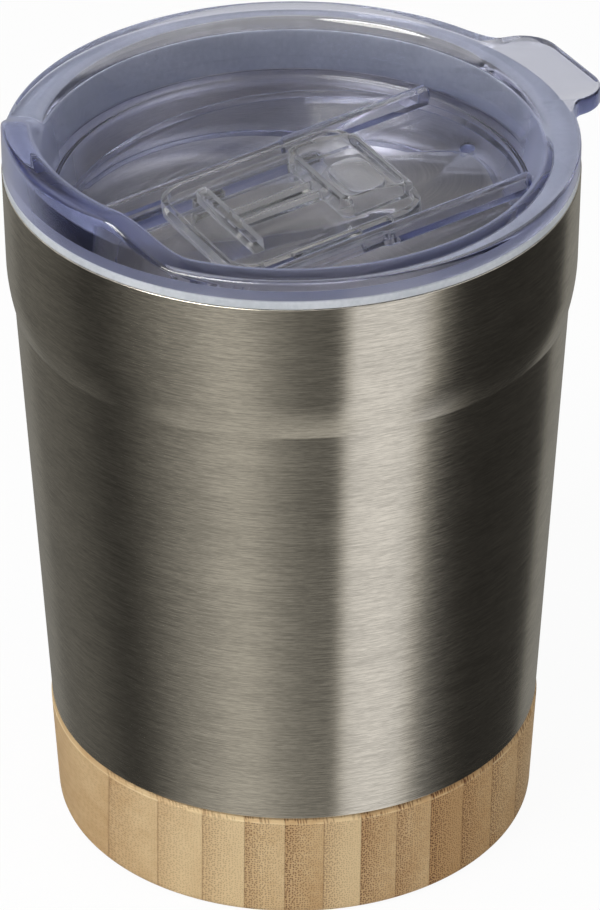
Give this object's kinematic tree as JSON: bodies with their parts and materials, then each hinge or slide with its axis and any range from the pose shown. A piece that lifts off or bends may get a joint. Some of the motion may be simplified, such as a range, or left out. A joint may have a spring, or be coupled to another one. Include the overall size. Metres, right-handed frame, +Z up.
{
  "type": "stainless steel mug",
  "caption": "Handle-less double-wall stainless steel drinking mug with a stepped shoulder, laminated bamboo base and clear press-in lid with slide closure.",
  "frame": {"origin": "Centre of the bamboo base's underside, on the table.", "axes": "+Z up along the mug's axis. -Y towards the lid's sip lip, +Y towards its lift tab, +X to the right when looking along +Y."},
  "size_m": [0.084, 0.0902, 0.118],
  "materials": {
    "brushed_steel": "horizontally brushed stainless steel",
    "liner_steel": "satin drawn stainless steel",
    "bamboo": "edge-glued bamboo, turned and oiled",
    "clear_blue": "clear moulded plastic with a blue-violet tint in its edges",
    "silicone": "pale grey silicone",
    "clear_neutral": "clear moulded plastic with a frosted thumb pad"
  },
  "bodies": {
    "mug": {"outer_shell": "brushed_steel", "inner_liner": "liner_steel", "shell_bottom": "liner_steel", "bamboo_strip_01": "bamboo", "bamboo_strip_02": "bamboo", "bamboo_strip_03": "bamboo", "bamboo_strip_04": "bamboo", "bamboo_strip_05": "bamboo", "bamboo_strip_06": "bamboo", "bamboo_strip_07": "bamboo", "bamboo_strip_08": "bamboo", "bamboo_strip_09": "bamboo", "bamboo_strip_10": "bamboo", "bamboo_strip_11": "bamboo", "bamboo_strip_12": "bamboo", "bamboo_strip_13": "bamboo", "bamboo_strip_14": "bamboo"},
    "lid": {"lid_body": "clear_blue", "lid_seal": "silicone"},
    "slide": {"slide_closure": "clear_neutral"}
  },
  "joints": [
    {"name": "lid_lift", "type": "slide", "parent": "mug", "child": "lid", "axis": [0, 0, 1], "range_m": [0, 0.045]},
    {"name": "slide_close", "type": "slide", "parent": "lid", "child": "slide", "axis": [0, -0.9957, -0.0924], "range_m": [0, 0.015]}
  ]
}
